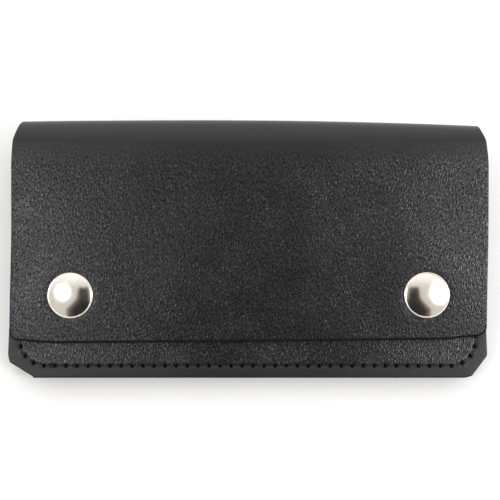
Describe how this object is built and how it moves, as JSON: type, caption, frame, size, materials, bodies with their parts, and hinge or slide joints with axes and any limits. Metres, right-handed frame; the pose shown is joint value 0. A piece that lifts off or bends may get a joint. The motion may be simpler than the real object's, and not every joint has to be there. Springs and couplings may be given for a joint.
{
  "type": "chain wallet",
  "caption": "Long black leather wallet with a fold-over flap held by snaps, stitched bill, card and zipped coin pockets, and an eyelet for a chain.",
  "frame": {"origin": "under the middle of the back face, on the surface that the closed wallet lies on", "axes": "+X across the width to the right as seen from the front, +Y up towards the fold, +Z out of the front"},
  "size_m": [0.167, 0.091, 0.019],
  "materials": {
    "cover_leather": "black grained leather, semi-gloss",
    "pocket_leather": "thin black leather, matt",
    "zipper_tape": "woven black tape",
    "thread": "black bonded thread",
    "snap_nickel": "polished nickel plate",
    "zipper_metal": "nickel plate, lightly worn",
    "eyelet_nickel": "nickel plate"
  },
  "bodies": {
    "pocket_body": {"back_panel": "cover_leather", "bill_divider": "pocket_leather", "card_pocket_upper": "pocket_leather", "card_pocket_middle": "pocket_leather", "card_pocket_lower": "pocket_leather", "filler_strip": "pocket_leather", "coin_pocket_back": "pocket_leather", "front_panel": "cover_leather", "zipper_tape_upper": "zipper_tape", "zipper_tape_lower": "zipper_tape", "zipper_teeth_upper": "zipper_metal", "zipper_teeth_lower": "zipper_metal", "zipper_stop_closed": "zipper_metal", "zipper_stop_open": "zipper_metal", "snap_stud_left": "snap_nickel", "snap_stud_right": "snap_nickel", "snap_post_left": "snap_nickel", "snap_post_right": "snap_nickel", "chain_eyelet": "eyelet_nickel", "eyelet_washer": "eyelet_nickel", "seam_thread_front": "thread", "seam_thread_back": "thread", "zipper_seam_thread": "thread"},
    "fold": {"fold_strip": "cover_leather"},
    "flap": {"flap": "cover_leather", "snap_cap_left": "snap_nickel", "snap_cap_right": "snap_nickel", "snap_socket_left": "snap_nickel", "snap_socket_right": "snap_nickel"},
    "slider": {"zipper_slider": "zipper_metal"},
    "pull": {"zipper_pull": "zipper_metal"}
  },
  "joints": [
    {"name": "fold_open", "type": "hinge", "parent": "pocket_body", "child": "fold", "pos_m": [0, 0.04289, 0.00296], "axis": [-1, 0, 0], "range_deg": [0, 91.5]},
    {"name": "flap_open", "type": "hinge", "parent": "fold", "child": "flap", "pos_m": [0, 0.04217, 0.01672], "axis": [-1, 0, 0], "range_deg": [0, 91.5]},
    {"name": "zipper_slide", "type": "slide", "parent": "pocket_body", "child": "slider", "axis": [1, 0, 0], "range_m": [-0.124, 0]},
    {"name": "pull_swing", "type": "hinge", "parent": "slider", "child": "pull", "pos_m": [0.062, 0.0105, 0.0111], "axis": [0, 0, 1], "range_deg": [-35, 35]}
  ],
  "couplings": [
    {"joint": "flap_open", "follows": "fold_open", "ratio": 1}
  ]
}
